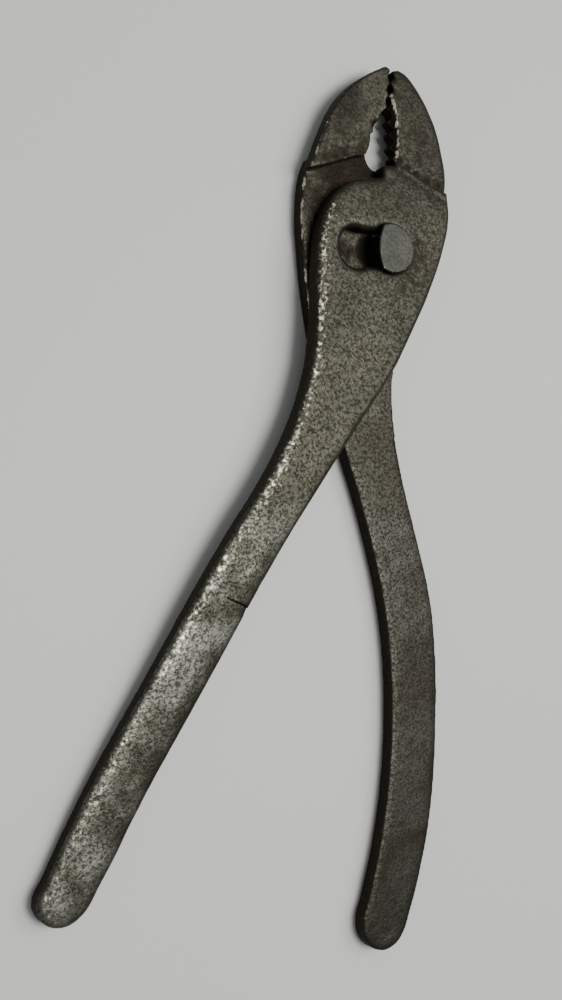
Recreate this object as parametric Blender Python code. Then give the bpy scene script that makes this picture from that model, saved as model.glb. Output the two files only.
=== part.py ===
"""Two-position slip-joint pliers, stamped from steel plate.

Two flat halves cross at a pivot pin. The slotted half lies on top: its joint plate has a slot of two
round lobes with a neck between them, and its jaw is joggled down beside the other one. The pinned half
lies below: it carries the pin, and its jaw is joggled up. The pin stands in one lobe or the other, which
sets how wide the jaws open.

Millimetres, with the pivot axis at x = y = 0 and the tool's flat underside at z = 0. +Y points along the
closed jaws and +Z out of the slotted side. MM turns every size into metres where a mesh is made.
"""
import math

import bmesh
import bpy
from mathutils import Matrix, Vector

MM = 0.001

# Plate and layers
PLATE = 3.2                # thickness of the steel plate
LAYER_GAP = 0.3            # running gap between the two halves
JOGGLE = 1.75              # how far each jaw is offset towards the other half
EDGE_ROUND = 0.6           # rounded rim on each half's outer face
UPPER_Z = PLATE + LAYER_GAP
UPPER_TOP = UPPER_Z + PLATE
JAW_Z = JOGGLE
JAW_TOP = JAW_Z + PLATE

# Handle of the slotted half: it slopes down from the joint to the underside's level
SLOPE_START_Y = -40.0
SLOPE_END_Y = -110.0
SLOPE_DROP = 3.1
SLOPE_CUTS = 12

# Teeth: the crests lie on a line that bends at the end of the tip teeth
TIP_Y = 34.3
TOOTH_PITCH = 2.4
TOOTH_COUNT = 7
TIP_TEETH = 3              # the rest are the pipe grip's
BEND_Y = 27.0
BEND_X = 0.45
CREST_SLOPE = 0.1
TIP_TOOTH_DEPTH = 0.85
GRIP_TOOTH_DEPTH = 1.35
LEFT_TOOTH_DEPTH = 0.5
JAW_GAP = 0.27             # between the two rows of crests when the jaws are closed

# Slot in the slotted half, and the pin in it
SLIP_TRAVEL = 7.1          # from one lobe's centre to the other's
SLIP_ANGLE = 185.6         # direction from the near lobe to the far one, degrees from +X
NEAR_LOBE_R = 4.15
FAR_LOBE_R = 3.75
NECK_HEIGHT = 6.7
SEAT_CHAMFER = 0.55        # countersink round the slot's upper rim
SHANK_R = 3.1
HEAD_R = 4.55
HEAD_FLAT = 3.05           # from the axis to the middle of the head's flat
HEAD_FLAT_R = 9.0          # the flat bulges a little, as an arc of this radius
HEAD_GAP = 0.2             # under the head
HEAD_HEIGHT = 0.6
HEAD_CHAMFER = 0.15
STUD_R = 2.2               # lower end of the pin, in the nut
STUD_Z = 0.9
STUD_HOLE_R = 2.5
NUT_R = 5.5
NUT_HEIGHT = 1.5
NUT_POCKET_R = 5.8
NUT_POCKET_DEPTH = 1.8
NUT_BORE_FLOOR = 0.6
NUT_KEY_HOLE_R = 0.7       # two holes for a pin spanner
NUT_KEY_HOLE_X = 3.6
NUT_KEY_HOLE_DEPTH = 1.0

CURVE_STEPS = 5            # segments between two points of an outline
ROUND_STEPS = 3
ROUND_SIDES = 48
CUT_OVER = 1.0             # how far a cutter runs past the face that it cuts
SMALLEST = 0.05            # points closer than this are merged

STEEL = (0.34, 0.33, 0.30)
STEEL_DARK = (0.27, 0.26, 0.24)
PIN_STEEL = (0.36, 0.37, 0.37)


def clear_scene():
    for item in list(bpy.data.objects):
        bpy.data.objects.remove(item, do_unlink=True)


def new_collection(name):
    collection = bpy.data.collections.new(name)
    bpy.context.scene.collection.children.link(collection)
    return collection


def steel_material(name, colour, roughness):
    material = bpy.data.materials.new(name)
    material.use_nodes = True
    shader = material.node_tree.nodes["Principled BSDF"]
    shader.inputs["Base Color"].default_value = (*colour, 1.0)
    shader.inputs["Metallic"].default_value = 0.9
    shader.inputs["Roughness"].default_value = roughness
    return material


# Outlines: (x, y) is a smooth point, and (x, y, "corner") a sharp one.

def corner(x, y):
    return (x, y, "corner")


def crest_x(y):
    return BEND_X + CREST_SLOPE * abs(y - BEND_Y)


def right_teeth():
    """The slotted half's teeth, from the tip down to the base of the jaw."""
    points = []
    for tooth in range(TOOTH_COUNT):
        crest_y = TIP_Y - tooth * TOOTH_PITCH
        root_y = crest_y - TOOTH_PITCH / 2
        depth = TIP_TOOTH_DEPTH if tooth < TIP_TEETH else GRIP_TOOTH_DEPTH
        points += [corner(crest_x(crest_y), crest_y), corner(crest_x(root_y) + depth, root_y)]
    return points


def left_teeth():
    """The pinned half's fine teeth, from the hollow of the grip up to the tip."""
    points = []
    for tooth in range(TIP_TEETH, 0, -1):
        crest_y = TIP_Y - tooth * TOOTH_PITCH
        root_y = crest_y + TOOTH_PITCH / 2
        points += [corner(crest_x(crest_y) - JAW_GAP, crest_y),
                   corner(crest_x(root_y) - JAW_GAP - LEFT_TOOTH_DEPTH, root_y)]
    return points + [corner(crest_x(TIP_Y) - JAW_GAP, TIP_Y)]


def right_jaw_outline():
    base = [corner(1.35, 17.7), corner(2.35, 16.8), corner(2.35, 14.95), corner(12.8, 10.8)]
    back = [(13.75, 13.2), (13.85, 16.9), (13.05, 20.6), (11.95, 24.3), (10.2, 27.9), (8.0, 31.1),
            (6.0, 33.2), (4.4, 34.4), corner(2.9, 34.85)]
    return right_teeth() + base + back


def plate_outline():
    """Joint plate and left handle of the slotted half."""
    cutter_notch = [corner(0.2, 17.1), corner(1.1, 16.15), corner(1.1, 15.8), corner(-1.65, 15.3),
                    corner(-1.7, 13.1)]
    plate_left = [(-4.8, 12.45), (-7.2, 11.75), (-9.3, 10.8), (-11.2, 9.3), (-13.0, 6.8), (-14.5, 3.2),
                  (-15.3, -1.0), (-15.6, -8.0), (-15.8, -17.0), (-17.0, -25.0)]
    handle_left = [(-21.2, -36.4), (-33.8, -57.2), (-44.8, -76.8), (-55.1, -95.4), (-60.6, -107.0)]
    handle_end = [(-62.35, -110.9), (-61.4, -113.4), (-58.6, -114.8), (-55.2, -113.7)]
    handle_right = [(-51.7, -108.6), (-45.0, -96.1), (-34.1, -77.2), (-22.7, -57.2), (-13.4, -43.0),
                    (-5.6, -31.8), (0.8, -22.8)]
    plate_right = [(5.4, -14.3), (9.25, -6.3), (12.2, 1.7), (13.45, 7.6)]
    step = [corner(13.0, 12.6), corner(11.2, 13.0), (8.6, 13.7), (4.3, 15.4)]
    return cutter_notch + plate_left + handle_left + handle_end + handle_right + plate_right + step


def left_jaw_outline():
    grip = [corner(-4.4, 17.4), (-3.75, 19.2), corner(-3.5, 20.4), (-3.55, 21.2), corner(-2.85, 21.9),
            (-2.75, 23.0), corner(-1.9, 24.1), corner(-1.05, 25.9)]
    back = [(-0.1, 34.8), (-1.8, 34.0), (-4.9, 32.0), (-8.2, 29.2), (-11.0, 25.6), (-13.3, 20.8),
            (-15.4, 15.3)]
    step = [corner(-16.5, 12.6), corner(-14.7, 13.2), (-12.2, 14.2), (-8.2, 16.0)]
    return grip + left_teeth() + back + step


def web_outline():
    """Joint web and right handle of the pinned half. Its top end lies under the jaw."""
    under_jaw = [corner(-15.3, 15.2), corner(-5.4, 19.2), corner(-3.7, 18.3)]
    grip_end = [(-3.3, 16.8), (-2.2, 15.5), (-0.6, 15.2)]
    web_right = [(3.5, 13.3), (8.6, 10.2), (11.3, 4.5), (10.9, -1.5), (8.3, -8.2), (4.9, -15.4)]
    handle_right = [(3.2, -22.0), (3.15, -29.0), (4.8, -38.5), (8.8, -52.0), (12.0, -63.0), (13.5, -75.0),
                    (13.6, -88.0), (12.75, -101.0), (10.6, -112.0), (8.2, -119.8)]
    handle_end = [(6.6, -123.8), (4.6, -125.8), (1.9, -126.3), (-1.0, -124.7), (-2.2, -121.4)]
    handle_left = [(-1.0, -116.6), (1.4, -107.0), (3.2, -94.0), (3.5, -82.0), (2.3, -68.5), (-1.0, -54.7),
                   (-6.9, -37.8)]
    web_left = [(-11.6, -26.0), (-15.0, -12.5), (-16.6, -1.0), (-17.0, 5.5), (-16.4, 12.0)]
    return under_jaw + grip_end + web_right + handle_right + handle_end + handle_left + web_left


# Solids

def outline_mesh(name, points, low_z, high_z):
    """A flat plate of the outline's shape, from low_z to high_z, as a bmesh with plain caps."""
    curve = bpy.data.curves.new(name, "CURVE")
    curve.dimensions = "2D"
    curve.fill_mode = "BOTH"
    curve.resolution_u = CURVE_STEPS
    curve.extrude = (high_z - low_z) / 2 * MM
    spline = curve.splines.new("BEZIER")
    spline.bezier_points.add(len(points) - 1)
    spline.use_cyclic_u = True
    for knot, point in zip(spline.bezier_points, points):
        handle = "VECTOR" if len(point) == 3 else "AUTO"
        knot.co = (point[0] * MM, point[1] * MM, 0.0)
        knot.handle_left_type = handle
        knot.handle_right_type = handle
    holder = bpy.data.objects.new(name, curve)
    bpy.context.scene.collection.objects.link(holder)
    bpy.context.view_layer.update()
    mesh = bpy.data.meshes.new_from_object(holder.evaluated_get(bpy.context.evaluated_depsgraph_get()))
    bpy.data.objects.remove(holder, do_unlink=True)
    bm = bmesh.new()
    bm.from_mesh(mesh)
    bpy.data.meshes.remove(mesh)
    bmesh.ops.remove_doubles(bm, verts=bm.verts, dist=1e-6)
    bmesh.ops.dissolve_limit(bm, angle_limit=math.radians(0.05), verts=bm.verts, edges=bm.edges)
    bmesh.ops.translate(bm, vec=(0, 0, (low_z + high_z) / 2 * MM), verts=bm.verts)
    bmesh.ops.recalc_face_normals(bm, faces=bm.faces)
    return bm


def cut_across(bm):
    """Cuts the slotted half's handle into short lengths, to bend it."""
    for cut in range(SLOPE_CUTS + 1):
        level = SLOPE_START_Y + (SLOPE_END_Y - SLOPE_START_Y) * cut / SLOPE_CUTS
        bmesh.ops.bisect_plane(bm, geom=bm.verts[:] + bm.edges[:] + bm.faces[:], dist=1e-7,
                               plane_co=(0, level * MM, 0), plane_no=(0, 1, 0))
    bmesh.ops.remove_doubles(bm, verts=bm.verts, dist=SMALLEST * MM)


def round_rim(bm, rim_z, wanted):
    """Rounds the outer face's rim at rim_z, on the stretches where wanted(x, y) is true."""
    rim = []
    for edge in bm.edges:
        level = all(abs(vert.co.z - rim_z * MM) < 1e-6 for vert in edge.verts)
        middle = (edge.verts[0].co + edge.verts[1].co) / (2 * MM)
        on_rim = edge.calc_face_angle(0.0) > math.radians(45)
        if level and on_rim and wanted(middle.x, middle.y):
            rim.append(edge)
    bmesh.ops.bevel(bm, geom=rim, offset=EDGE_ROUND * MM, segments=ROUND_STEPS, profile=0.5,
                    affect="EDGES", clamp_overlap=False)
    bmesh.ops.remove_doubles(bm, verts=bm.verts, dist=SMALLEST * MM)


def slope_handle(bm):
    """Bends the slotted half's handle down towards its end."""
    span = SLOPE_START_Y - SLOPE_END_Y
    for vert in bm.verts:
        part = (SLOPE_START_Y - vert.co.y / MM) / span
        part = min(max(part, 0.0), 1.0)
        vert.co.z -= SLOPE_DROP * MM * part * part * (3 - 2 * part)


def mesh_object(name, bm, collection, material=None):
    mesh = bpy.data.meshes.new(name)
    bm.to_mesh(mesh)
    bm.free()
    item = bpy.data.objects.new(name, mesh)
    collection.objects.link(item)
    if material:
        mesh.materials.append(material)
    return item


def turned(sections, sides=ROUND_SIDES):
    """Closed upright cylinders, one for each (radius, low z, high z), as a list of bmeshes."""
    solids = []
    for radius, low_z, high_z in sections:
        bm = bmesh.new()
        bmesh.ops.create_cone(bm, cap_ends=True, segments=sides, radius1=radius * MM, radius2=radius * MM,
                              depth=(high_z - low_z) * MM,
                              matrix=Matrix.Translation((0, 0, (low_z + high_z) / 2 * MM)))
        solids.append(bm)
    return solids


def boolean(target, tool, operation):
    modifier = target.modifiers.new(tool.name, "BOOLEAN")
    modifier.operation = operation
    modifier.solver = "EXACT"
    modifier.object = tool


def cutter(name, bm, collection):
    tool = mesh_object(name, bm, collection)
    tool.hide_render = True
    tool.display_type = "WIRE"
    return tool


def slip_direction():
    angle = math.radians(SLIP_ANGLE)
    return Vector((math.cos(angle), math.sin(angle), 0.0))


def slot_outline(grow):
    """Two lobes and the neck between them, widened by grow all round. The near lobe is at the pivot."""
    neck = NECK_HEIGHT / 2 + grow
    steps = ROUND_SIDES // 2
    along = slip_direction()
    across = Vector((-along.y, along.x, 0.0))
    points = []
    for centre, radius, facing in ((0.0, NEAR_LOBE_R, 0), (SLIP_TRAVEL, FAR_LOBE_R, 180)):
        lobe = radius + grow
        meet = math.degrees(math.asin(neck / lobe))
        for step in range(steps + 1):
            angle = math.radians(facing + meet + (360 - 2 * meet) * step / steps)
            place = along * (centre + lobe * math.cos(angle)) + across * (lobe * math.sin(angle))
            points.append(corner(place.x, place.y))
    return points


def slot_cutter(collection):
    bm = outline_mesh("slot_cutter", slot_outline(0.0), UPPER_Z - CUT_OVER, UPPER_TOP + CUT_OVER)
    return cutter("slot_cutter", bm, collection)


def seat_cutter(collection):
    """Countersink of the slot's upper rim: a plug that widens upwards at 45 degrees."""
    past = 0.2
    middle = slot_outline(SEAT_CHAMFER / 2)
    low = slot_outline(-past)
    high = slot_outline(SEAT_CHAMFER + past)
    bm = outline_mesh("seat_cutter", middle, UPPER_TOP - SEAT_CHAMFER - past, UPPER_TOP + past)
    for vert in bm.verts:
        place = vert.co / MM
        spot = min(range(len(middle)), key=lambda i: math.dist(place.xy, middle[i][:2]))
        wanted = high[spot] if place.z > UPPER_TOP else low[spot]
        vert.co = (wanted[0] * MM, wanted[1] * MM, vert.co.z)
    return cutter("seat_cutter", bm, collection)


def build_slotted_half(parts, cutters, material):
    plate_mesh = outline_mesh("slotted_half", plate_outline(), UPPER_Z, UPPER_TOP)
    cut_across(plate_mesh)
    round_rim(plate_mesh, UPPER_TOP, lambda x, y: x < -1.7 or y < 12.6)
    slope_handle(plate_mesh)
    half = mesh_object("slotted_half", plate_mesh, parts, material)
    jaw_mesh = outline_mesh("right_jaw", right_jaw_outline(), JAW_Z, JAW_TOP)
    round_rim(jaw_mesh, JAW_TOP, lambda x, y: x > max(2.9, 12.8 - 0.494 * (y - 10.8)))
    boolean(half, cutter("right_jaw", jaw_mesh, cutters), "UNION")
    boolean(half, slot_cutter(cutters), "DIFFERENCE")
    boolean(half, seat_cutter(cutters), "DIFFERENCE")
    return half


def build_pinned_half(parts, cutters, material):
    web_mesh = outline_mesh("pinned_half", web_outline(), 0.0, PLATE)
    round_rim(web_mesh, 0.0, lambda x, y: y < 15.2 or x > -3.7)
    half = mesh_object("pinned_half", web_mesh, parts, material)
    jaw_mesh = outline_mesh("left_jaw", left_jaw_outline(), JAW_Z, JAW_TOP)
    round_rim(jaw_mesh, JAW_Z, lambda x, y: y - 12.6 > 1.26 * (x + 16.5))
    boolean(half, cutter("left_jaw", jaw_mesh, cutters), "UNION")
    pocket, hole = turned([(NUT_POCKET_R, -CUT_OVER, NUT_POCKET_DEPTH),
                           (STUD_HOLE_R, -CUT_OVER, PLATE + CUT_OVER)])
    boolean(half, cutter("nut_pocket", pocket, cutters), "DIFFERENCE")
    boolean(half, cutter("stud_hole", hole, cutters), "DIFFERENCE")
    return half


def head_mesh():
    """The pin's round head with one flat side, chamfered round its upper rim."""
    low_z = UPPER_TOP + HEAD_GAP
    flat_centre = HEAD_FLAT_R - HEAD_FLAT
    meet_x = (HEAD_R ** 2 - HEAD_FLAT_R ** 2 + flat_centre ** 2) / (2 * flat_centre)
    turn = math.acos(meet_x / HEAD_R)
    bulge = math.asin(HEAD_R * math.sin(turn) / HEAD_FLAT_R)
    steps = ROUND_SIDES * 3 // 4
    points = []
    for step in range(steps + 1):
        angle = -turn + 2 * turn * step / steps
        points.append(corner(HEAD_R * math.cos(angle), HEAD_R * math.sin(angle)))
    for step in range(1, ROUND_SIDES // 4):
        angle = math.pi - bulge + 2 * bulge * step / (ROUND_SIDES // 4)
        points.append(corner(flat_centre + HEAD_FLAT_R * math.cos(angle), HEAD_FLAT_R * math.sin(angle)))
    bm = outline_mesh("pivot_pin", points, low_z, low_z + HEAD_HEIGHT)
    rim_z = (low_z + HEAD_HEIGHT) * MM
    rim = [edge for edge in bm.edges if all(abs(vert.co.z - rim_z) < 1e-6 for vert in edge.verts)]
    bmesh.ops.bevel(bm, geom=rim, offset=HEAD_CHAMFER * MM, segments=1, profile=0.5, affect="EDGES")
    return bm


def build_pin(parts, cutters, material):
    pin = mesh_object("pivot_pin", head_mesh(), parts, material)
    shank, stud = turned([(SHANK_R, PLATE + LAYER_GAP, UPPER_TOP + HEAD_GAP + HEAD_HEIGHT / 2),
                          (STUD_R, STUD_Z, UPPER_Z + CUT_OVER)])
    boolean(pin, cutter("pin_shank", shank, cutters), "UNION")
    boolean(pin, cutter("pin_stud", stud, cutters), "UNION")
    return pin


def build_nut(parts, cutters, material):
    body, bore = turned([(NUT_R, 0.0, NUT_HEIGHT), (STUD_HOLE_R, NUT_BORE_FLOOR, NUT_HEIGHT + CUT_OVER)])
    nut = mesh_object("pivot_nut", body, parts, material)
    boolean(nut, cutter("nut_bore", bore, cutters), "DIFFERENCE")
    for side in (-1, 1):
        key_hole = turned([(NUT_KEY_HOLE_R, -CUT_OVER, NUT_KEY_HOLE_DEPTH)], sides=16)[0]
        bmesh.ops.translate(key_hole, vec=(side * NUT_KEY_HOLE_X * MM, 0, 0), verts=key_hole.verts)
        boolean(nut, cutter("nut_key_hole", key_hole, cutters), "DIFFERENCE")
    return nut


def shade(item, degrees):
    item.data.shade_smooth()
    item.data.set_sharp_from_angle(angle=math.radians(degrees))


def main():
    clear_scene()
    parts = new_collection("slip_joint_pliers")
    cutters = new_collection("cutters")
    pieces = [
        build_slotted_half(parts, cutters, steel_material("slotted_half_steel", STEEL, 0.42)),
        build_pinned_half(parts, cutters, steel_material("pinned_half_steel", STEEL_DARK, 0.5)),
        build_pin(parts, cutters, steel_material("pivot_pin_steel", PIN_STEEL, 0.38)),
        build_nut(parts, cutters, steel_material("pivot_nut_steel", STEEL_DARK, 0.45)),
    ]
    for piece in pieces:
        shade(piece, 30)


main()
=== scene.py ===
import math

import bmesh
import bpy
from mathutils import Matrix, Vector, kdtree, noise
from mathutils.bvhtree import BVHTree


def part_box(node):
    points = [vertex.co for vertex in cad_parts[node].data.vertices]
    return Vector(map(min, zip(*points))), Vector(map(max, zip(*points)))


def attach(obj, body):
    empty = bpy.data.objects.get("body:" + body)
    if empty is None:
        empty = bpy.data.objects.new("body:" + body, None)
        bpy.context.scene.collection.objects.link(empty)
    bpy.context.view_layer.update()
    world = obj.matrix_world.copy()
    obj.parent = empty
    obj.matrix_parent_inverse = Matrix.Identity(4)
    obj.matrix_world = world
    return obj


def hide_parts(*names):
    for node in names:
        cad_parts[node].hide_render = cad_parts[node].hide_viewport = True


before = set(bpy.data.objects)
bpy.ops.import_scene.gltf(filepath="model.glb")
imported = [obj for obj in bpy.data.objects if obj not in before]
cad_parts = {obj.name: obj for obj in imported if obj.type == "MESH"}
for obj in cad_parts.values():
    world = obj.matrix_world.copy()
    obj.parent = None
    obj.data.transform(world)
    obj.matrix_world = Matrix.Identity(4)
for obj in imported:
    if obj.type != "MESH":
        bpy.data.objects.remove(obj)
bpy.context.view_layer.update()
mm = 0.001
print("frame loaded")


# camera, floor and lights

shot = {
    "place": (-0.1233, -0.0606, 0.1840),
    "aim": (-0.0185, -0.0464, 0.0),
    "up": (-0.0463, 0.9977, 0.0506),
    "lens": 43.2,
    "sensor": 36.0,
}

floorPlate = {"size": 3.0, "drop": 0.05 * mm, "colour": (0.56, 0.57, 0.56), "roughness": 0.55}

studioLights = {
    "windowRight": {"place": (0.44, 0.10, 0.55), "aim": (-0.02, -0.04, 0.0), "size": 0.35, "power": 1.8,
                    "colour": (1.0, 1.0, 0.98)},
    "lampAbove": {"place": (0.20, -0.05, 0.87), "aim": (-0.02, -0.04, 0.0), "size": 0.42, "power": 6.6,
                  "colour": (1.0, 0.99, 0.95)},
}

roomLight = {"colour": (0.88, 0.90, 0.88), "strength": 0.42}


def newObject(name, data):
    made = bpy.data.objects.new(name, data)
    bpy.context.scene.collection.objects.link(made)
    return made


def makeCamera(look):
    camera = newObject("camera", bpy.data.cameras.new("camera"))
    camera.data.lens = look["lens"]
    camera.data.sensor_width = look["sensor"]
    camera.data.clip_start = 0.01
    place = Vector(look["place"])
    back = (place - Vector(look["aim"])).normalized()
    right = Vector(look["up"]).cross(back).normalized()
    up = back.cross(right)
    turn = Matrix((right, up, back)).transposed()
    camera.matrix_world = Matrix.Translation(place) @ turn.to_4x4()
    bpy.context.scene.camera = camera


def makeFloor(look):
    bm = bmesh.new()
    bmesh.ops.create_grid(bm, x_segments=1, y_segments=1, size=look["size"] / 2)
    bmesh.ops.translate(bm, verts=bm.verts, vec=(0, 0, -look["drop"]))
    mesh = bpy.data.meshes.new("floor")
    bm.to_mesh(mesh)
    bm.free()
    floor = newObject("floor", mesh)
    pale = bpy.data.materials.new("paleFloor")
    pale.use_nodes = True
    shader = pale.node_tree.nodes["Principled BSDF"]
    shader.inputs["Base Color"].default_value = (*look["colour"], 1.0)
    shader.inputs["Roughness"].default_value = look["roughness"]
    mesh.materials.append(pale)


def makeLights(lights, room):
    for name, look in lights.items():
        lamp = bpy.data.lights.new(name, "AREA")
        lamp.shape = "DISK"
        lamp.size = look["size"]
        lamp.energy = look["power"]
        lamp.color = look["colour"]
        holder = newObject(name, lamp)
        holder.location = look["place"]
        away = Vector(look["place"]) - Vector(look["aim"])
        holder.rotation_euler = away.to_track_quat("Z", "Y").to_euler()
    world = bpy.data.worlds.new("room")
    world.use_nodes = True
    sky = world.node_tree.nodes["Background"]
    sky.inputs["Color"].default_value = (*room["colour"], 1.0)
    sky.inputs["Strength"].default_value = room["strength"]
    bpy.context.scene.world = world


makeCamera(shot)
makeFloor(floorPlate)
makeLights(studioLights, roomLight)
print("camera, floor and lights made")


# steel

def agedSteel(name, look):
    steel = bpy.data.materials.new(name)
    steel.use_nodes = True
    nodes = steel.node_tree.nodes
    links = steel.node_tree.links
    nodes.clear()

    output = nodes.new("ShaderNodeOutputMaterial")
    output.label = "surface"
    shader = nodes.new("ShaderNodeBsdfPrincipled")
    shader.label = "old steel"
    shader.inputs["Specular IOR Level"].default_value = look["specular"]
    links.new(shader.outputs["BSDF"], output.inputs["Surface"])

    place = nodes.new("ShaderNodeTexCoord")
    place.label = "place on the piece"

    # broad drift of tone
    drift = nodes.new("ShaderNodeTexNoise")
    drift.label = "broad patches of patina"
    drift.inputs["Scale"].default_value = look["patchScale"]
    drift.inputs["Detail"].default_value = 3.0
    drift.inputs["Roughness"].default_value = 0.6
    links.new(place.outputs["Object"], drift.inputs["Vector"])
    driftShare = nodes.new("ShaderNodeMapRange")
    driftShare.label = "how much of a patch is dark"
    driftShare.interpolation_type = "SMOOTHSTEP"
    driftShare.inputs["From Min"].default_value = look["patchLow"]
    driftShare.inputs["From Max"].default_value = look["patchHigh"]
    links.new(drift.outputs["Fac"], driftShare.inputs["Value"])

    # fine grain of the pitted surface
    grain = nodes.new("ShaderNodeTexNoise")
    grain.label = "etched grain"
    grain.inputs["Scale"].default_value = look["grainScale"]
    grain.inputs["Detail"].default_value = 2.0
    grain.inputs["Roughness"].default_value = 0.55
    grain.inputs["Distortion"].default_value = 0.6
    links.new(place.outputs["Object"], grain.inputs["Vector"])
    grainShare = nodes.new("ShaderNodeMapRange")
    grainShare.label = "light and dark grains"
    grainShare.interpolation_type = "SMOOTHSTEP"
    grainShare.inputs["From Min"].default_value = look["grainLow"]
    grainShare.inputs["From Max"].default_value = look["grainHigh"]
    links.new(grain.outputs["Fac"], grainShare.inputs["Value"])

    height = nodes.new("ShaderNodeSeparateXYZ")
    height.label = "how far up the tool"
    links.new(place.outputs["Object"], height.inputs["Vector"])
    headShare = nodes.new("ShaderNodeMapRange")
    headShare.label = "the head is more olive than the handles"
    headShare.interpolation_type = "SMOOTHSTEP"
    headShare.inputs["From Min"].default_value = look["oliveFrom"]
    headShare.inputs["From Max"].default_value = look["oliveTo"]
    links.new(height.outputs["Y"], headShare.inputs["Value"])
    steelMix = nodes.new("ShaderNodeMix")
    steelMix.label = "grey handles, olive head"
    steelMix.data_type = "RGBA"
    steelMix.inputs["A"].default_value = (*look["steel"], 1.0)
    steelMix.inputs["B"].default_value = (*look["headSteel"], 1.0)
    links.new(headShare.outputs["Result"], steelMix.inputs["Factor"])
    baseMix = nodes.new("ShaderNodeMix")
    baseMix.label = "steel to darker patina"
    baseMix.data_type = "RGBA"
    links.new(steelMix.outputs["Result"], baseMix.inputs["A"])
    baseMix.inputs["B"].default_value = (*look["patina"], 1.0)
    links.new(driftShare.outputs["Result"], baseMix.inputs["Factor"])
    grainMix = nodes.new("ShaderNodeMix")
    grainMix.label = "dark etched grains"
    grainMix.data_type = "RGBA"
    grainMix.inputs["B"].default_value = (*look["grainColour"], 1.0)
    grainAmount = nodes.new("ShaderNodeMath")
    grainAmount.label = "strength of the grain"
    grainAmount.operation = "MULTIPLY"
    grainAmount.inputs[1].default_value = look["grainAmount"]
    links.new(grainShare.outputs["Result"], grainAmount.inputs[0])
    links.new(grainAmount.outputs["Value"], grainMix.inputs["Factor"])
    links.new(baseMix.outputs["Result"], grainMix.inputs["A"])

    # pits
    pitCells = nodes.new("ShaderNodeTexVoronoi")
    pitCells.label = "corrosion pits"
    pitCells.inputs["Scale"].default_value = look["pitScale"]
    links.new(place.outputs["Object"], pitCells.inputs["Vector"])
    pitShape = nodes.new("ShaderNodeMapRange")
    pitShape.label = "pit, deepest at its middle"
    pitShape.interpolation_type = "SMOOTHSTEP"
    pitShape.inputs["From Min"].default_value = look["pitSize"]
    pitShape.inputs["From Max"].default_value = look["pitCore"]
    links.new(pitCells.outputs["Distance"], pitShape.inputs["Value"])
    pitPlace = nodes.new("ShaderNodeTexNoise")
    pitPlace.label = "where pits gather"
    pitPlace.inputs["Scale"].default_value = look["pitPatchScale"]
    pitPlace.inputs["Detail"].default_value = 2.0
    links.new(place.outputs["Object"], pitPlace.inputs["Vector"])
    pitShare = nodes.new("ShaderNodeMapRange")
    pitShare.label = "pitted and clean areas"
    pitShare.inputs["From Min"].default_value = look["pitLow"]
    pitShare.inputs["From Max"].default_value = look["pitLow"] + look["pitFade"]
    links.new(pitPlace.outputs["Fac"], pitShare.inputs["Value"])
    pit = nodes.new("ShaderNodeMath")
    pit.label = "pits"
    pit.operation = "MULTIPLY"
    links.new(pitShape.outputs["Result"], pit.inputs[0])
    links.new(pitShare.outputs["Result"], pit.inputs[1])
    pitMix = nodes.new("ShaderNodeMix")
    pitMix.label = "dirt in the pits"
    pitMix.data_type = "RGBA"
    pitMix.inputs["B"].default_value = (*look["pitColour"], 1.0)
    links.new(pit.outputs["Value"], pitMix.inputs["Factor"])
    links.new(grainMix.outputs["Result"], pitMix.inputs["A"])

    # stains, dirt and painted shade, painted on the mesh
    stainAndShade = nodes.new("ShaderNodeAttribute")
    stainAndShade.label = "stain painted on the piece"
    stainAndShade.attribute_name = "stainAndShade"
    stainCloud = nodes.new("ShaderNodeTexNoise")
    stainCloud.label = "uneven edge of a stain"
    stainCloud.inputs["Scale"].default_value = look["stainScale"]
    stainCloud.inputs["Detail"].default_value = 4.0
    stainCloud.inputs["Roughness"].default_value = 0.65
    links.new(place.outputs["Object"], stainCloud.inputs["Vector"])
    stainSum = nodes.new("ShaderNodeMath")
    stainSum.label = "stain broken up"
    stainSum.operation = "MULTIPLY_ADD"
    stainSum.inputs[1].default_value = look["stainSpread"]
    stainSum.inputs[2].default_value = -0.5 * look["stainSpread"]
    links.new(stainCloud.outputs["Fac"], stainSum.inputs[0])
    stainAndShadeEdge = nodes.new("ShaderNodeMath")
    stainAndShadeEdge.label = "stain with its noise"
    stainAndShadeEdge.operation = "ADD"
    links.new(stainSum.outputs["Value"], stainAndShadeEdge.inputs[0])
    links.new(stainAndShade.outputs["Fac"], stainAndShadeEdge.inputs[1])
    stainAndShadeShare = nodes.new("ShaderNodeMapRange")
    stainAndShadeShare.label = "stain's share"
    stainAndShadeShare.interpolation_type = "SMOOTHSTEP"
    stainAndShadeShare.inputs["From Min"].default_value = look["stainLow"]
    stainAndShadeShare.inputs["From Max"].default_value = look["stainHigh"]
    links.new(stainAndShadeEdge.outputs["Value"], stainAndShadeShare.inputs["Value"])
    stainAndShadeMix = nodes.new("ShaderNodeMix")
    stainAndShadeMix.label = "dirt and painted shade over the steel"
    stainAndShadeMix.data_type = "RGBA"
    links.new(stainAndShadeShare.outputs["Result"], stainAndShadeMix.inputs["Factor"])
    links.new(pitMix.outputs["Result"], stainAndShadeMix.inputs["A"])
    rust = nodes.new("ShaderNodeTexNoise")
    rust.label = "rust in the dirt"
    rust.inputs["Scale"].default_value = look["rustScale"]
    rust.inputs["Detail"].default_value = 4.0
    links.new(place.outputs["Object"], rust.inputs["Vector"])
    rustShare = nodes.new("ShaderNodeMapRange")
    rustShare.label = "rust's share"
    rustShare.inputs["From Min"].default_value = look["rustLow"]
    rustShare.inputs["From Max"].default_value = look["rustHigh"]
    links.new(rust.outputs["Fac"], rustShare.inputs["Value"])
    rustMix = nodes.new("ShaderNodeMix")
    rustMix.label = "black dirt and painted shade to brown rust"
    rustMix.data_type = "RGBA"
    rustMix.inputs["A"].default_value = (*look["stainAndShadeColour"], 1.0)
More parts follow.
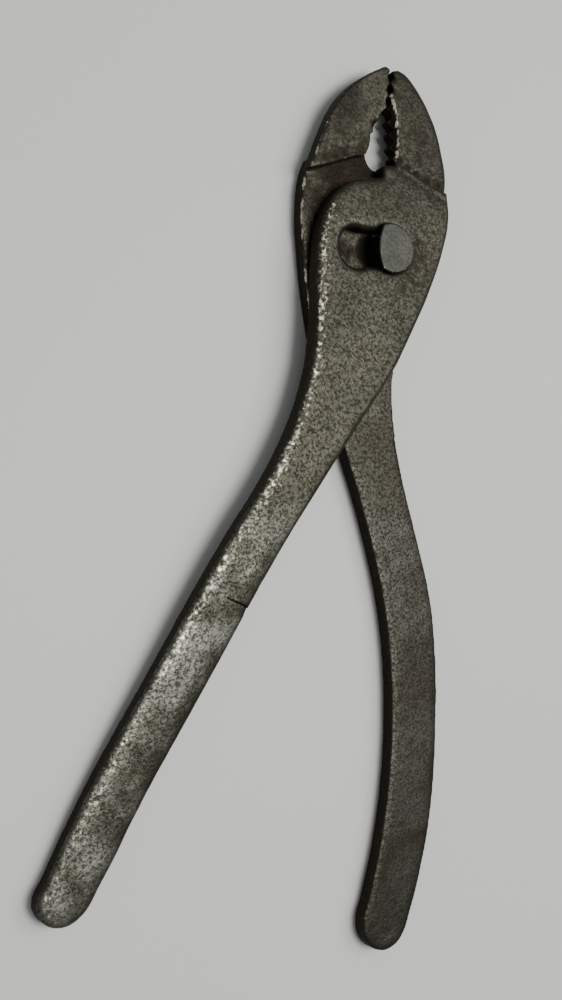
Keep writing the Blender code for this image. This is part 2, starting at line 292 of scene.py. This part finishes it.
    rustMix.inputs["B"].default_value = (*look["rustColour"], 1.0)
    rustLimit = nodes.new("ShaderNodeMapRange")
    rustLimit.label = "no rust in thick dirt and painted shade"
    rustLimit.inputs["From Min"].default_value = look["thickDirtAndShade"]
    rustLimit.inputs["From Max"].default_value = look["thinDirt"]
    links.new(stainAndShade.outputs["Fac"], rustLimit.inputs["Value"])
    rustThin = nodes.new("ShaderNodeMath")
    rustThin.label = "rust in thin dirt"
    rustThin.operation = "MULTIPLY"
    links.new(rustShare.outputs["Result"], rustThin.inputs[0])
    links.new(rustLimit.outputs["Result"], rustThin.inputs[1])
    links.new(rustThin.outputs["Value"], rustMix.inputs["Factor"])
    links.new(rustMix.outputs["Result"], stainAndShadeMix.inputs["B"])

    # bright worn edges and painted highlight
    wearAndHighlight = nodes.new("ShaderNodeAttribute")
    wearAndHighlight.label = "wear painted on the piece"
    wearAndHighlight.attribute_name = "wearAndHighlight"
    wearCloud = nodes.new("ShaderNodeTexNoise")
    wearCloud.label = "broken up wear"
    wearCloud.inputs["Scale"].default_value = look["wearScale"]
    wearCloud.inputs["Detail"].default_value = 3.0
    links.new(place.outputs["Object"], wearCloud.inputs["Vector"])
    wearAndHighlightEdge = nodes.new("ShaderNodeMath")
    wearAndHighlightEdge.label = "wear with its noise"
    wearAndHighlightEdge.operation = "MULTIPLY_ADD"
    wearAndHighlightEdge.inputs[1].default_value = look["wearSpread"]
    links.new(wearCloud.outputs["Fac"], wearAndHighlightEdge.inputs[0])
    links.new(wearAndHighlight.outputs["Fac"], wearAndHighlightEdge.inputs[2])
    wearAndHighlightShare = nodes.new("ShaderNodeMapRange")
    wearAndHighlightShare.label = "wear's share"
    wearAndHighlightShare.interpolation_type = "SMOOTHSTEP"
    wearAndHighlightShare.inputs["From Min"].default_value = look["wearLow"]
    wearAndHighlightShare.inputs["From Max"].default_value = look["wearHigh"]
    links.new(wearAndHighlightEdge.outputs["Value"], wearAndHighlightShare.inputs["Value"])
    wearAndHighlightMix = nodes.new("ShaderNodeMix")
    wearAndHighlightMix.label = "bare bright metal and painted highlight"
    wearAndHighlightMix.data_type = "RGBA"
    wearAndHighlightMix.inputs["B"].default_value = (*look["bareAndHighlightColour"], 1.0)
    links.new(wearAndHighlightShare.outputs["Result"], wearAndHighlightMix.inputs["Factor"])
    links.new(stainAndShadeMix.outputs["Result"], wearAndHighlightMix.inputs["A"])
    links.new(wearAndHighlightMix.outputs["Result"], shader.inputs["Base Color"])

    # gloss
    gloss = nodes.new("ShaderNodeMapRange")
    gloss.label = "grains are duller"
    gloss.inputs["To Min"].default_value = look["roughLow"]
    gloss.inputs["To Max"].default_value = look["roughHigh"]
    links.new(grainShare.outputs["Result"], gloss.inputs["Value"])
    stainAndShadeGloss = nodes.new("ShaderNodeMix")
    stainAndShadeGloss.label = "stains and painted shade are matt"
    stainAndShadeGloss.inputs["B"].default_value = look["roughStainAndShade"]
    links.new(stainAndShadeShare.outputs["Result"], stainAndShadeGloss.inputs["Factor"])
    links.new(gloss.outputs["Result"], stainAndShadeGloss.inputs["A"])
    wearAndHighlightGloss = nodes.new("ShaderNodeMix")
    wearAndHighlightGloss.label = "worn edges and painted highlight are polished"
    wearAndHighlightGloss.inputs["B"].default_value = look["roughBareAndHighlight"]
    links.new(wearAndHighlightShare.outputs["Result"], wearAndHighlightGloss.inputs["Factor"])
    links.new(stainAndShadeGloss.outputs["Result"], wearAndHighlightGloss.inputs["A"])
    links.new(wearAndHighlightGloss.outputs["Result"], shader.inputs["Roughness"])
    metal = nodes.new("ShaderNodeMapRange")
    metal.label = "stain hides the metal"
    metal.inputs["To Min"].default_value = look["metallic"]
    metal.inputs["To Max"].default_value = look["metallicStainAndShade"]
    links.new(stainAndShadeShare.outputs["Result"], metal.inputs["Value"])
    links.new(metal.outputs["Result"], shader.inputs["Metallic"])

    # relief
    grainBump = nodes.new("ShaderNodeBump")
    grainBump.label = "relief of the grain"
    grainBump.inputs["Strength"].default_value = look["grainRelief"]
    grainBump.inputs["Distance"].default_value = look["reliefDepth"]
    links.new(grain.outputs["Fac"], grainBump.inputs["Height"])
    pitBump = nodes.new("ShaderNodeBump")
    pitBump.label = "depth of the pits"
    pitBump.invert = True
    pitBump.inputs["Strength"].default_value = look["pitRelief"]
    pitBump.inputs["Distance"].default_value = look["reliefDepth"]
    links.new(pit.outputs["Value"], pitBump.inputs["Height"])
    links.new(grainBump.outputs["Normal"], pitBump.inputs["Normal"])
    links.new(pitBump.outputs["Normal"], shader.inputs["Normal"])

    groups = {
        "tone": [drift, driftShare, height, headShare, steelMix, baseMix],
        "grain": [grain, grainShare, grainAmount, grainMix],
        "pits": [pitCells, pitShape, pitPlace, pitShare, pit, pitMix],
        "stainAndShade": [stainAndShade, stainCloud, stainSum, stainAndShadeEdge, stainAndShadeShare, rust, rustShare, rustLimit,
                  rustThin, rustMix, stainAndShadeMix],
        "wearAndHighlight": [wearAndHighlight, wearCloud, wearAndHighlightEdge, wearAndHighlightShare, wearAndHighlightMix],
        "gloss": [gloss, stainAndShadeGloss, wearAndHighlightGloss, metal],
        "relief": [grainBump, pitBump],
    }
    for row, (title, members) in enumerate(groups.items()):
        board = nodes.new("NodeFrame")
        board.label = title
        for column, member in enumerate(members):
            member.parent = board
            member.location = (220 * column, -320 * row)
    place.location = (-260, -600)
    shader.location = (1500, -600)
    output.location = (1800, -600)
    return steel


# meshes

def cadCopy(node):                               # the node's solid, with its loose triangles merged
    bm = bmesh.new()
    bm.from_mesh(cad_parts[node].data)
    bmesh.ops.remove_doubles(bm, verts=bm.verts, dist=0.001 * mm)
    return bm


def keepOutside(bm):                             # drops the closed bubbles a remesh can leave inside a solid
    bm.verts.index_update()
    seen = [False] * len(bm.verts)
    islands = []
    for start in bm.verts:
        if seen[start.index]:
            continue
        seen[start.index] = True
        island = [start]
        for vert in island:
            for edge in vert.link_edges:
                other = edge.other_vert(vert)
                if not seen[other.index]:
                    seen[other.index] = True
                    island.append(other)
        islands.append(island)
    islands.sort(key=len)
    spare = [vert for island in islands[:-1] for vert in island]
    bmesh.ops.delete(bm, geom=spare, context="VERTS")
    print("bubbles dropped:", len(islands) - 1)


def soften(bm, verts, factor):
    bmesh.ops.smooth_vert(bm, verts=verts, factor=factor, use_axis_x=True, use_axis_y=True, use_axis_z=True)


def evenSkin(solid, voxel):                      # the same solid in small even faces, for wear and dents
    mesh = bpy.data.meshes.new("skin")
    solid.to_mesh(mesh)
    holder = newObject("skin", mesh)
    remesh = holder.modifiers.new("even faces", "REMESH")
    remesh.mode = "VOXEL"
    remesh.voxel_size = voxel
    bpy.context.view_layer.update()
    even = bpy.data.meshes.new_from_object(holder.evaluated_get(bpy.context.evaluated_depsgraph_get()))
    bpy.data.objects.remove(holder, do_unlink=True)
    bm = bmesh.new()
    bm.from_mesh(even)
    bpy.data.meshes.remove(even)
    bpy.data.meshes.remove(mesh)
    keepOutside(bm)
    surface = BVHTree.FromBMesh(solid)
    soften(bm, bm.verts, 0.5)
    for vert in bm.verts:
        vert.co = surface.find_nearest(vert.co)[0]
    soften(bm, bm.verts, 0.35)
    bm.normal_update()
    return bm


upright = {"wall": 0.5, "dirt": 0.55, "shadeFade": 0.3}    # a wall's normal has its z below the first; below the second a wall gets painted shade, fading in over the third


def wallTree(bm, low, high, normalLimit=2.0):    # walls between two heights; a limit below 0 keeps left walls
    walls = [vert for vert in bm.verts if abs(vert.normal.z) < upright["wall"] and low < vert.co.z < high]
    walls = [vert for vert in walls if vert.normal.x < normalLimit]
    tree = kdtree.KDTree(len(walls))
    for number, vert in enumerate(walls):
        tree.insert((vert.co.x, vert.co.y, 0.0), number)
    tree.balance()
    return tree


crownEdge = {"fullSlope": 0.6, "softReach": 1.6 * mm, "softRounds": 2, "softness": 0.5}


def crown(bm, walls, profile):                   # lets the upper faces fall away towards their rims
    rim = []
    for vert in bm.verts:
        if vert.normal.z < 0.0 or vert.co.z < 0.0:
            continue
        distance = walls.find((vert.co.x, vert.co.y, 0.0))[2]
        width, drop = profile(vert)
        share = max(0.0, 1.0 - distance / width)
        vert.co.z -= drop * share * share * min(1.0, vert.normal.z / crownEdge["fullSlope"])
        if distance < crownEdge["softReach"] and drop > 0.0:
            rim.append(vert)
    for _ in range(crownEdge["softRounds"]):
        soften(bm, rim, crownEdge["softness"])


def roughen(bm, size, depth, seed):              # shallow hollows left by forging, only ever inwards
    shift = Vector((seed, seed * 0.7, seed * 1.3))
    for vert in bm.verts:
        height = noise.fractal(vert.co / size + shift, 0.8, 2.0, 2)
        vert.co -= vert.normal * depth * max(0.0, 0.5 + height * 0.8)


def dent(bm, look):                              # a smooth hollow pressed straight down into the face
    centre = Vector(look["dentPlace"])
    reach = look["dentReach"]
    for vert in bm.verts:
        if vert.normal.z < 0.3:
            continue
        away = vert.co - centre
        share = 1.0 - math.hypot(away.x / reach[0], away.y / reach[1])
        if share > 0.0 and abs(away.z) < look["dentLayer"]:
            vert.co.z -= look["dentDepth"] * share * share * (3.0 - 2.0 * share)


def averaged(bm, values, rounds):
    for _ in range(rounds):
        fresh = []
        for vert in bm.verts:
            near = [values[edge.other_vert(vert).index] for edge in vert.link_edges]
            fresh.append(0.5 * values[vert.index] + 0.5 * sum(near) / max(1, len(near)))
        values = fresh
    return values


def edgeCurve(bm, voxel):                        # above zero on outside edges, below zero in inside corners
    bm.verts.index_update()
    values = []
    for vert in bm.verts:
        middle = Vector()
        for edge in vert.link_edges:
            middle += edge.other_vert(vert).co
        middle /= max(1, len(vert.link_edges))
        values.append((vert.co - middle).dot(vert.normal) / voxel)
    return averaged(bm, values, 3)


def finishPiece(bm, name, steel, wearAndHighlight, stainAndShade):
    mesh = bpy.data.meshes.new(name)
    bmesh.ops.recalc_face_normals(bm, faces=bm.faces)
    bm.to_mesh(mesh)
    bm.free()
    for title, values in (("wearAndHighlight", wearAndHighlight), ("stainAndShade", stainAndShade)):
        layer = mesh.attributes.new(title, "FLOAT", "POINT")
        layer.data.foreach_set("value", values)
    mesh.shade_smooth()
    mesh.materials.append(steel)
    return newObject(name, mesh)


def blotch(vert, spots):                         # soft stains and painted shadows: x, y, z and reach in millimetres, strength
    most = 0.0
    for x, y, z, reach, strength in spots:
        away = math.dist(vert.co, (x * mm, y * mm, z * mm)) / (reach * mm)
        most = max(most, strength * max(0.0, 1.0 - away * away))
    return most


def wallShade(vert, look):                        # painted shade: walls are painted black, most of all in the grip and the slot
    share = min(1.0, max(0.0, (upright["dirt"] - abs(vert.normal.z)) / upright["shadeFade"]))
    for x, y, reach in look["deepShadeWalls"]:
        if math.hypot(vert.co.x - x * mm, vert.co.y - y * mm) < reach * mm:
            return share * look["deepShade"]
    return share * look["wallShade"]


def clean(vert):                                 # no extra wear or dirt
    return 0.0


sharpness = {"wearAndHighlight": 4.0, "dirt": 6.0}           # how soon an edge counts as worn and a corner is darkened


def paint(bm, voxel, look, extraWearAndHighlight, extraShade):    # wear with painted highlight, and stain with painted shade, of every point
    curve = edgeCurve(bm, voxel)
    wearAndHighlight = []
    stainAndShade = []
    for vert, value in zip(bm.verts, curve):
        # worn holds edge wear and the extra wear, which includes painted highlight
        edge = min(1.0, max(0.0, value * sharpness["wearAndHighlight"])) * look["edgeWear"]
        worn = max(edge, extraWearAndHighlight(vert))
        wearAndHighlight.append(worn)
        # dirt gathers corner darkening, stains, painted shadow and the painted shade of walls and teeth
        corner = min(1.0, -value * sharpness["dirt"]) * look["cornerDark"]
        dirt = max(corner, blotch(vert, look["stainAndShadowSpots"]), wallShade(vert, look), extraShade(vert))
        stainAndShade.append(max(0.0, dirt * (1.0 - worn)))
    return wearAndHighlight, stainAndShade


# halves

halfSteel = {
    "patchScale": 95.0, "patchLow": 0.38, "patchHigh": 0.62,
    "grainScale": 1900.0, "grainLow": 0.38, "grainHigh": 0.66, "grainAmount": 0.72,
    "pitScale": 1500.0, "pitSize": 0.30, "pitCore": 0.04,
    "pitPatchScale": 210.0, "pitLow": 0.50, "pitFade": 0.14,
    "steel": (0.125, 0.126, 0.109), "headSteel": (0.046, 0.045, 0.034),
    "oliveFrom": -62.0 * mm, "oliveTo": -42.0 * mm,
    "patina": (0.036, 0.035, 0.027), "grainColour": (0.012, 0.0115, 0.008),
    # the stain colour is near black, both for dirt and for painted shade on walls and teeth
    "pitColour": (0.006, 0.005, 0.004), "stainAndShadeColour": (0.006, 0.0035, 0.0012),
    # the bare colour is worn metal and also the painted highlight along the left rims
    "rustColour": (0.046, 0.030, 0.010), "bareAndHighlightColour": (0.55, 0.52, 0.43),
    "stainScale": 620.0, "stainSpread": 1.5, "stainLow": 0.15, "stainHigh": 0.85,
    "rustScale": 1900.0, "rustLow": 0.42, "rustHigh": 0.78, "thickDirtAndShade": 1.3, "thinDirt": 0.6,
    "wearScale": 1500.0, "wearSpread": 0.8, "wearLow": 0.55, "wearHigh": 1.15,
    "roughLow": 0.36, "roughHigh": 0.55, "roughBareAndHighlight": 0.28, "roughStainAndShade": 0.75,
    "metallic": 0.86, "metallicStainAndShade": 0.15, "specular": 0.2,
    "grainRelief": 1.0, "pitRelief": 0.9, "reliefDepth": 0.05 * mm,
}

slottedHalf = {
    "voxel": 0.28 * mm, "quickCoarser": 2.5,
    "handleCrown": (3.2 * mm, 0.26 * mm), "plateCrown": (2.2 * mm, 0.18 * mm),    # width and drop
    "crownFrom": -20.0 * mm, "crownTo": -55.0 * mm, "wallLow": -1.0, "rimDepth": 1.2 * mm,
    "forgeSize": 3.2 * mm, "forgeDepth": 0.05 * mm, "seed": 3.1,
    "gripFrom": 18.0, "gripTo": 30.0, "gripLow": 3.5,
    "gripEdge": 3.0, "gripMiddle": 21.5, "gripCurve": 0.0235,
    "gripWidth": 0.5, "gripSlope": 0.22, "toothSlope": 0.9, "gripDepth": 1.0,
    # the last value on the next line is painted shade, black on the teeth beyond the worn strip
    "gripNoise": 1100.0, "gripWear": 0.65, "gripBreak": 1.3, "gripFace": 0.4, "toothShade": 1.4,
    # from bandTo on, these values set a painted highlight along the left rims
    "leftFacing": -0.4, "bandTo": 9.0 * mm, "slotLow": -12.0 * mm, "slotLeft": -12.2 * mm, "bandSlant": 0.6,
    "bandPlate": 1.0 * mm, "bandHandle": 1.35 * mm, "bandWidth": 1.05 * mm, "bandTail": 2.6 * mm,
    "bandAmount": 0.24, "plateAmount": 0.20, "tailAmount": 0.17, "bandFace": 0.4,
    "speckleScale": 1900.0, "speckleBase": 0.65, "fineShare": 0.8, "fineRatio": 1.7,
    "driftScale": 90.0, "driftBase": 0.8, "driftSwing": 0.6, "flatFrom": 0.5, "flatFade": 0.35,
    "crackDepth": 4.2 * mm,
    "crackCuts": [(4.6 * mm, 0.34 * mm, 0.12, -22.0, (-29.9, -64.35, 6.6)),   # length, width, far end, turn
                  (1.4 * mm, 0.9 * mm, 0.5, 60.0, (-27.85, -65.95, 6.6))],    # and place in millimetres
    # the wall and black values on the next two lines are painted shade: walls painted dark, black in the
    # listed grip, slot and ledge zones
    "edgeWear": 0.25, "cornerDark": 0.9, "wallShade": 0.95, "deepShade": 1.3,
    "deepShadeWalls": [(-3.5, -0.3, 9.0), (1.0, 25.0, 10.0), (-0.5, 16.0, 2.5)],
    "stainAndShadowSpots": [(5.6, -0.5, 6.7, 5.5, 0.5), (3.5, -5.5, 6.7, 5.0, 0.4), (7.0, 22.5, 4.9, 5.0, 0.4),
               (8.5, 19.0, 4.9, 4.0, 0.4), (-3.0, 9.0, 6.7, 4.0, 0.25), (1.5, 9.5, 6.7, 3.0, 0.25),
               (11.6, 13.4, 4.9, 2.6, 0.8), (9.0, 14.6, 4.9, 1.5, 1.0), (6.8, 15.5, 4.9, 1.2, 1.0),
               (4.8, 16.6, 4.9, 1.1, 1.0), (3.0, 17.6, 4.9, 1.0, 1.0)],
}

pinnedHalf = {
    "voxel": 0.28 * mm, "quickCoarser": 2.5,
    "handleTop": -34.0 * mm, "handleCrown": (1.6 * mm, 0.16 * mm), "rimCrown": (0.8 * mm, 0.09 * mm),
    "wallLow": 0.6 * mm, "wallHigh": 2.4 * mm, "leftFacing": -0.75,
    "rimFrom": -24.0 * mm, "rimTo": 23.0 * mm, "webLeft": -5.0 * mm,
    "rimLeft": -14.0 * mm, "rimBend": 11.0 * mm, "rimTurn": 0.4, "rimReach": 0.5 * mm,
    "rimSearch": 0.8 * mm, "rimCrowd": 12, "rimFace": 0.3,
    "rimNoise": 420.0, "rimBright": 0.42, "rimBreak": 1.1,
    "dentPlace": (-2.3 * mm, 23.1 * mm, 4.95 * mm), "dentReach": (1.1 * mm, 1.7 * mm),
    "dentDepth": 1.2 * mm, "dentLayer": 2.0 * mm,
    "forgeSize": 3.0 * mm, "forgeDepth": 0.05 * mm, "seed": 8.4,
    # the wall and black values on the next two lines are painted shade: walls painted dark, black in the
    # listed grip and ledge zones
    "edgeWear": 0.25, "cornerDark": 0.9, "wallShade": 0.95, "deepShade": 1.3,
    "deepShadeWalls": [(-1.0, 25.0, 10.0), (-3.0, 16.0, 3.0)],
    # the spot at (-2.4, -0.2) with strength 2.0 is painted shadow of the pin on the web floor; the others are
    # stains
    "stainAndShadowSpots": [(-9.5, 13.5, 3.2, 7.0, 0.85), (-4.5, 15.8, 3.2, 5.0, 0.95), (-12.0, 9.0, 3.2, 6.0, 0.6),
               (-2.4, -0.2, 3.2, 3.6, 2.0), (-2.3, 23.1, 4.5, 1.8, 0.9), (-8.0, -0.7, 3.2, 3.4, 0.7)],
}

lowerSteel = dict(halfSteel, steel=(0.042, 0.041, 0.035), headSteel=(0.066, 0.064, 0.048),
                  patina=(0.028, 0.026, 0.020), oliveFrom=-40.0 * mm, oliveTo=-5.0 * mm)


def gripLine(y, look):                           # outer edge of the worn strip beside the grip's teeth
    return look["gripEdge"] - look["gripCurve"] * (y - look["gripMiddle"]) ** 2


def onGripStrip(vert, look):                     # how far a point lies inside the worn strip, in millimetres
    x, y, z = vert.co / mm
    if not look["gripFrom"] < y < look["gripTo"] or z < look["gripLow"]:
        return 0.0
    return max(0.0, gripLine(y, look) - x)


def wearGrip(bm, look):                          # the slotted half's jaw is worn to a slope beside its teeth
    for vert in bm.verts:
        inside = onGripStrip(vert, look)
        if inside > 0.0 and vert.normal.z > 0.0:
            fall = inside * look["gripSlope"] + max(0.0, inside - look["gripWidth"]) * look["toothSlope"]
            vert.co.z -= min(look["gripDepth"], fall) * mm * min(1.0, vert.normal.z / 0.5)


def gripWear(vert, look):
    inside = onGripStrip(vert, look)
    if inside <= 0.0 or vert.normal.z < look["gripFace"] or inside > look["gripWidth"]:
        return 0.0
    broken = look["gripWear"] + look["gripBreak"] * noise.noise(vert.co * look["gripNoise"])
    return min(1.0, 4.0 * inside) * broken


def cutCrack(bm, look):                          # a crack in the handle's edge, with a chip gone at its mouth
    mesh = bpy.data.meshes.new("cracked")
    bm.to_mesh(mesh)
    bm.free()
    holder = newObject("cracked", mesh)
    blades = []
    for length, width, narrow, turn, place in look["crackCuts"]:
        cutter = bmesh.new()
        wedge = bmesh.ops.create_cube(cutter, size=1.0)["verts"]
        bmesh.ops.scale(cutter, vec=(length, width, look["crackDepth"]), verts=wedge)
        farEnd = [vert for vert in wedge if vert.co.x < 0.0]
        bmesh.ops.scale(cutter, vec=(1.0, narrow, 1.0), verts=farEnd)
        turned = Matrix.Rotation(math.radians(turn), 3, "Z")
        bmesh.ops.rotate(cutter, cent=(0.0, 0.0, 0.0), matrix=turned, verts=wedge)
        bmesh.ops.translate(cutter, vec=Vector(place) * mm, verts=wedge)
        blade = newObject("crackCutter", bpy.data.meshes.new("crackCutter"))
        cutter.to_mesh(blade.data)
        cutter.free()
        blades.append(blade)
        cut = holder.modifiers.new("crack", "BOOLEAN")
        cut.operation = "DIFFERENCE"
        cut.solver = "EXACT"
        cut.object = blade
    bpy.context.view_layer.update()
    cracked = bpy.data.meshes.new_from_object(holder.evaluated_get(bpy.context.evaluated_depsgraph_get()))
    spare = [cracked, mesh] + [blade.data for blade in blades]
    for helper in [holder] + blades:
        bpy.data.objects.remove(helper, do_unlink=True)
    whole = bmesh.new()
    whole.from_mesh(cracked)
    bmesh.ops.triangulate(whole, faces=[face for face in whole.faces if len(face.verts) > 4])
    for unused in spare:
        bpy.data.meshes.remove(unused)
    print("cracked:", len(whole.verts), "points")
    return whole


def handleShare(vert, look):                     # 0 on the joint plate, 1 on the handle
    share = (vert.co.y - look["crownFrom"]) / (look["crownTo"] - look["crownFrom"])
    return min(1.0, max(0.0, share))


def rimHighlightBand(vert, walls, look):                 # painted highlight: bright bare metal painted in a speckled band along the left rims, where the crown's highlight falls
    if vert.normal.z < look["bandFace"] or vert.co.y >= look["bandTo"]:
        return 0.0
    place, _, distance = walls.find((vert.co.x, vert.co.y, 0.0))
    if vert.co.x - place.x < look["bandSlant"] * distance:
        return 0.0
    if vert.co.y > look["slotLow"] and place.x > look["slotLeft"]:
        return 0.0
    share = handleShare(vert, look)
    middle = look["bandPlate"] + share * (look["bandHandle"] - look["bandPlate"])
    bell = math.exp(-((distance - middle) / look["bandWidth"]) ** 2)
    tail = math.exp(-max(0.0, distance - middle) / look["bandTail"])
    speckle = noise.noise(vert.co * look["speckleScale"])
    speckle += look["fineShare"] * noise.noise(vert.co * look["speckleScale"] * look["fineRatio"])
    drift = look["driftBase"] + look["driftSwing"] * noise.noise(vert.co * look["driftScale"])
    flat = min(1.0, max(0.0, (vert.normal.z - look["flatFrom"]) / look["flatFade"]))
    amount = look["plateAmount"] + share * (look["bandAmount"] - look["plateAmount"])
    band = amount * bell + look["tailAmount"] * tail
    return max(0.0, flat * drift * band * (look["speckleBase"] + speckle))


def makeSlottedHalf(look, steel):
    voxel = look["voxel"] * 1.0
    solid = cadCopy("slotted_half")
    bm = evenSkin(solid, voxel)
    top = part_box("slotted_half")[1].z
    solid.free()
    print("slotted half:", len(bm.verts), "points")
    wallTop = top - look["rimDepth"]

    def profile(vert):
        share = handleShare(vert, look)
        plate, handle = look["plateCrown"], look["handleCrown"]
        return plate[0] + share * (handle[0] - plate[0]), plate[1] + share * (handle[1] - plate[1])

    # the grip strip's wear and the painted rim highlight
    def slottedWearAndHighlight(vert):
        return max(gripWear(vert, look), rimHighlightBand(vert, leftWalls, look))

    # painted shade: the teeth beyond the worn strip are painted black, as they lie lower in shadow
    def toothShade(vert):
        return look["toothShade"] if onGripStrip(vert, look) > look["gripWidth"] else 0.0

    crown(bm, wallTree(bm, look["wallLow"], wallTop), profile)
    wearGrip(bm, look)
    roughen(bm, look["forgeSize"], look["forgeDepth"], look["seed"])
    bm = cutCrack(bm, look)
    bm.normal_update()
    leftWalls = wallTree(bm, look["wallLow"], wallTop, look["leftFacing"])
    wearAndHighlight, stainAndShade = paint(bm, voxel, look, slottedWearAndHighlight, toothShade)
    piece = finishPiece(bm, "slottedHalf", steel, wearAndHighlight, stainAndShade)
    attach(piece, "slotted_half")
    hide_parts("slotted_half")


def makePinnedHalf(look, steel):
    voxel = look["voxel"] * 1.0
    solid = cadCopy("pinned_half")
    bm = evenSkin(solid, voxel)
    solid.free()
    print("pinned half:", len(bm.verts), "points")

    def profile(vert):
        if vert.co.y < look["handleTop"]:
            return look["handleCrown"]
        if look["rimFrom"] < vert.co.y < look["rimTo"] and vert.co.x < look["webLeft"]:
            return look["rimCrown"]
        return 1.0, 0.0                          # the rest stays flat

    def rimBright(vert):                           # the outer left rim is painted bright in a thin broken line
        x, y = vert.co.xy
        edge = look["rimLeft"] + max(0.0, y - look["rimBend"]) * look["rimTurn"]
        if not (look["rimFrom"] < y < look["rimTo"] and x < edge and vert.normal.z > look["rimFace"]):
            return 0.0
        around = leftWalls.find_range((x, y, 0.0), look["rimSearch"])
        if len(around) < look["rimCrowd"]:
            return 0.0
        distance = min(found[2] for found in around)
        broken = look["rimBright"] + look["rimBreak"] * noise.noise(vert.co * look["rimNoise"])
        return max(0.0, (1.0 - distance / look["rimReach"]) * broken)

    crown(bm, wallTree(bm, look["wallLow"], look["wallHigh"]), profile)
    dent(bm, look)
    roughen(bm, look["forgeSize"], look["forgeDepth"], look["seed"])
    bm.normal_update()
    leftWalls = wallTree(bm, look["wallLow"], look["wallHigh"], look["leftFacing"])
    wearAndHighlight, stainAndShade = paint(bm, voxel, look, rimBright, clean)
    piece = finishPiece(bm, "pinnedHalf", steel, wearAndHighlight, stainAndShade)
    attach(piece, "pinned_half")
    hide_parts("pinned_half")


makeSlottedHalf(slottedHalf, agedSteel("slottedHalfSteel", halfSteel))
makePinnedHalf(pinnedHalf, agedSteel("pinnedHalfSteel", lowerSteel))
print("halves made")


# pin and nut

smallPiece = {
    "voxel": 0.12 * mm, "quickCoarser": 2.0, "forgeSize": 2.0 * mm, "forgeDepth": 0.015 * mm, "seed": 5.5,
    # the wall value is painted shade on the walls of the pin and the nut
    "edgeWear": 0.6, "cornerDark": 0.9, "wallShade": 1.2, "deepShadeWalls": [], "stainAndShadowSpots": [],
}

pinSteel = dict(halfSteel, steel=(0.035, 0.036, 0.031), headSteel=(0.035, 0.036, 0.031),
                patina=(0.045, 0.046, 0.041), grainAmount=0.2, grainRelief=0.2, pitLow=0.6,
                roughLow=0.36, roughHigh=0.46)


def makeSmallPiece(node, name, body, look, steel):
    voxel = look["voxel"] * 1.0
    solid = cadCopy(node)
    bm = evenSkin(solid, voxel)
    solid.free()
    print(name, len(bm.verts), "points")
    roughen(bm, look["forgeSize"], look["forgeDepth"], look["seed"])
    bm.normal_update()
    wearAndHighlight, stainAndShade = paint(bm, voxel, look, clean, clean)
    piece = finishPiece(bm, name, steel, wearAndHighlight, stainAndShade)
    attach(piece, body)
    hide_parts(node)


makeSmallPiece("pivot_pin", "pivotPin", "pinned_half", smallPiece,
               agedSteel("pivotPinSteel", pinSteel))
makeSmallPiece("pivot_nut", "pivotNut", "slip_nut", smallPiece,
               agedSteel("pivotNutSteel", halfSteel))
print("pin and nut made")
